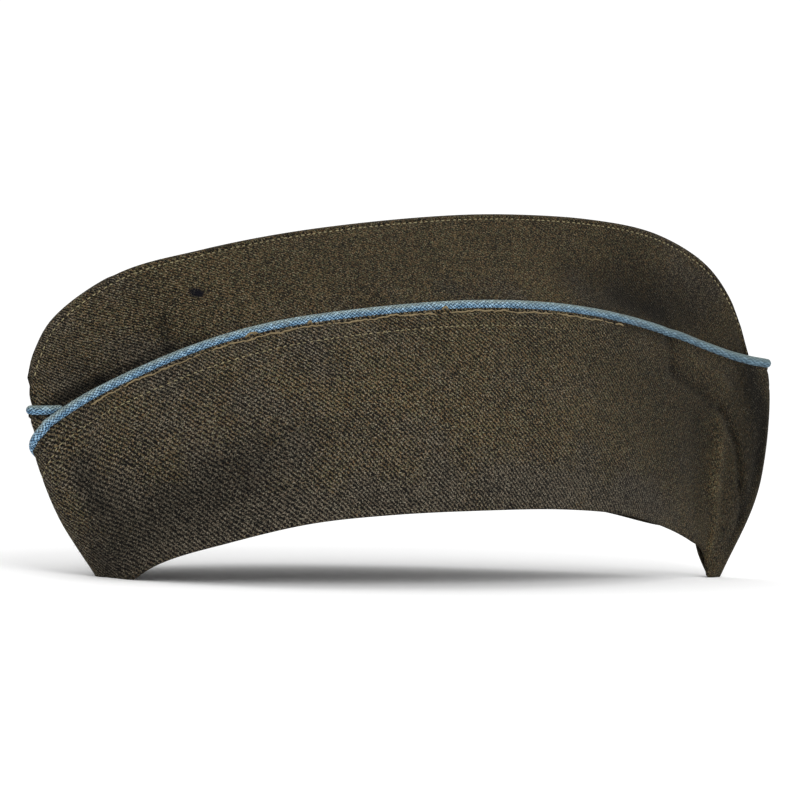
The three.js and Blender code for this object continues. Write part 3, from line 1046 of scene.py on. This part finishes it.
def cordMaterial(name, backAt):
    look = cordLook
    constants = {"Roughness": 0.8, "Specular IOR Level": 0.15, "Sheen Weight": 0.05, "Sheen Roughness": 0.4}
    cord = Surface(name, constants)
    length, turn, top = cord.attribute("braid")
    spot = cord.vector(length, turn * 9.4)
    around = turn * float(look["strands"]) + (cord.noise(spot, 0.5, 1.0) - 0.5) * 0.5
    forward = around + length * (look["strands"] / look["lead"])
    backward = around - length * (look["strands"] / look["lead"])
    over = (forward * math.pi).math("SINE") * (backward * math.pi).math("SINE")
    over = (over * 0.5 + 0.5).ramp(0.3, 0.7)
    strand = forward.wave() * over + backward.wave() * (1.0 - over)
    cell = cord.chance(cord.vector((forward + 0.5).floor(), (backward + 0.5).floor()))
    fleck = cord.noise(spot, 1.7, 2.0, 0.7)
    # Towards its top the cord is greyer, with fewer pale flecks and lighter grooves.
    topGreying = top * 0.8 + 0.44 + (cord.noise(spot, 0.12, 2.0) - 0.5) * 0.8
    # Near the back seam the cord is tealer with less braid showing, and painted shade darkens it.
    nearBack = 1.0 - (length - backAt).math("ABSOLUTE").ramp(*look["backReach"])
    colour = cord.blend(topGreying.clamp(), look["blue"], look["topGrey"])
    colour = cord.blend(nearBack * 0.6, colour, look["backTeal"])
    pale = (cell * 1.0 + (fleck - 0.5) * 2.6 - 0.35 - top * 0.35).clamp()
    colour = cord.blend(pale * strand * (1.0 - nearBack * 0.55), colour, look["worn"])
    # Painted shade in the grooves between the strands, less on the top and near the back seam.
    gap = ((1.0 - strand).ramp(0.15, 0.85) - (fleck - 0.5) * 2.4 + (0.5 - cell) * 0.5).clamp()
    colour = cord.blend(gap * (0.94 - top * 0.16 - nearBack * 0.5), colour, look["groove"])
    dirt = cord.noise(spot, 0.25, 3.0, 0.65).ramp(0.5, 0.78) * 0.5
    colour = cord.blend(dirt, colour, look["soil"])
    # Painted shade towards the back seam.
    dim = 1.0 - nearBack * look["backShade"]
    colour = cord.blend(1.0, colour, cord.vector(dim, dim, dim), "MULTIPLY")
    height = strand + fleck * 0.5
    return cord.finish(Base_Color=colour, Normal=cord.bump(height, 1.0, look["bumpDepth"]))


def threadMaterial(name, pale, dark):
    thread = Surface(name, {"Roughness": 0.7, "Specular IOR Level": 0.25})
    spot = thread.node("ShaderNodeTexCoord", None, (), "Object")
    twist = thread.noise(spot, 900.0, 2.0)
    patch = thread.noise(spot, 60.0, 2.0)
    colour = thread.blend((twist * 0.6 + patch * 0.7 - 0.15).clamp(), dark, pale)
    return thread.finish(Base_Color=colour, Normal=thread.bump(twist, 0.6, 0.0001))


def fuzzMaterial(name):
    fibre = Surface(name, {"Roughness": 0.8, "Specular IOR Level": 0.3})
    spot = fibre.node("ShaderNodeTexCoord", None, (), "Object")
    shade = fibre.noise(spot, 1500.0, 1.0).ramp(0.35, 0.7)
    return fibre.finish(Base_Color=fibre.blend(shade, fuzzLook["dark"], fuzzLook["pale"]))


def dress(piece, material, slotName, *nodes):
    piece.data.materials.append(material)
    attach(piece, "root")
    if nodes:
        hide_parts(*nodes)


curtainSerge = sergeMaterial("curtainSerge", 1.0)
crownSerge = sergeMaterial("crownSerge", crownLook["twillScale"], crownLook["mothHole"])
khakiThread = threadMaterial("khakiThread", *threadLook["khaki"])
tanThread = threadMaterial("tanThread", *threadLook["tan"])
fibres = fuzzMaterial("fuzzFibres")
dress(curtains[-1][0], curtainSerge, "curtain_serge", "curtain_left")
dress(curtains[1][0], curtainSerge, "curtain_serge", "curtain_right")
dress(crowns[-1][0], crownSerge, "crown_serge", "crown_left")
dress(crowns[1][0], crownSerge, "crown_serge", "crown_right")
dress(top, crownSerge, "crown_serge", "crown_top")
dress(piping, cordMaterial("braidedCord", backAt), "piping_cord", "piping")
dress(ridgeStitches, khakiThread, "crown_serge")
dress(curtainStitches, khakiThread, "curtain_serge")
dress(edgeStitches, tanThread, "curtain_serge")
dress(curtainFuzz, fibres, "curtain_serge")
dress(crownFuzz, fibres, "crown_serge")
print("materials made")

# Floor, light and camera
stageLook = {
    "floorColour": (0.94, 0.94, 0.94, 1),
    "floorGrain": (0.95, 0.95, 0.95, 1),
    "floorRadius": 12.0,
    "worldStrength": 1.08,
    "keyLight": {"place": (-0.3, -1.25, 0.9), "size": 0.7, "power": 9.0},
    "fillLight": {"place": (0.9, -0.9, 0.8), "size": 0.9, "power": 2.0},
}
ring = np.linspace(0, 2 * np.pi, 64, endpoint=False)
disc = np.stack([np.cos(ring), np.sin(ring), 0 * ring], axis=1) * stageLook["floorRadius"]
floorMesh = bpy.data.meshes.new("floor")
floorMesh.from_pydata(disc.tolist(), [], [list(range(64))])
floor = bpy.data.objects.new("floor", floorMesh)
bpy.context.scene.collection.objects.link(floor)
paper = Surface("floorPaper", {"Roughness": 0.9, "Specular IOR Level": 0.1})
grain = paper.noise(paper.node("ShaderNodeTexCoord", None, (), "Object"), 40.0, 3.0)
paperColour = paper.blend(grain, stageLook["floorColour"], stageLook["floorGrain"])
floorMesh.materials.append(paper.finish(Base_Color=paperColour))

scene = bpy.context.scene
world = bpy.data.worlds.new("studio")
world.use_nodes = True
backdrop = world.node_tree.nodes["Background"]
backdrop.inputs["Color"].default_value = (1, 1, 1, 1)
backdrop.inputs["Strength"].default_value = stageLook["worldStrength"]
scene.world = world


def areaLight(name, aim, place, size, power):
    lamp = bpy.data.lights.new(name, "AREA")
    lamp.shape = "DISK"
    lamp.size = size
    lamp.energy = power
    lampObject = bpy.data.objects.new(name, lamp)
    lampObject.location = place
    way = np.array(aim) - np.array(place)
    across = math.hypot(way[0], way[1])
    lampObject.rotation_euler = Euler((math.atan2(across, -way[2]), 0, math.atan2(-way[0], way[1])))
    scene.collection.objects.link(lampObject)


capMiddle = [(a + b) / 2 for a, b in zip(cadLow, cadHigh)]
for name in ("keyLight", "fillLight"):
    areaLight(name, capMiddle, **stageLook[name])

cameraLook = {"place": (-0.4634, -0.7512, 0.0606), "turn": 31.0, "roll": 2.4, "lens": 115.04}
camera = bpy.data.cameras.new("camera")
camera.lens = cameraLook["lens"]
camera.sensor_width = 36
camera.clip_start, camera.clip_end = 0.05, 60
cameraObject = bpy.data.objects.new("camera", camera)
turned = Euler((math.radians(90), 0, math.radians(-cameraLook["turn"]))).to_matrix()
rolled = Euler((0, 0, math.radians(cameraLook["roll"]))).to_matrix()
cameraObject.rotation_euler = (turned @ rolled).to_euler()
cameraObject.location = cameraLook["place"]
scene.collection.objects.link(cameraObject)
scene.camera = cameraObject
scene.view_settings.view_transform = "Standard"
print("stage made")
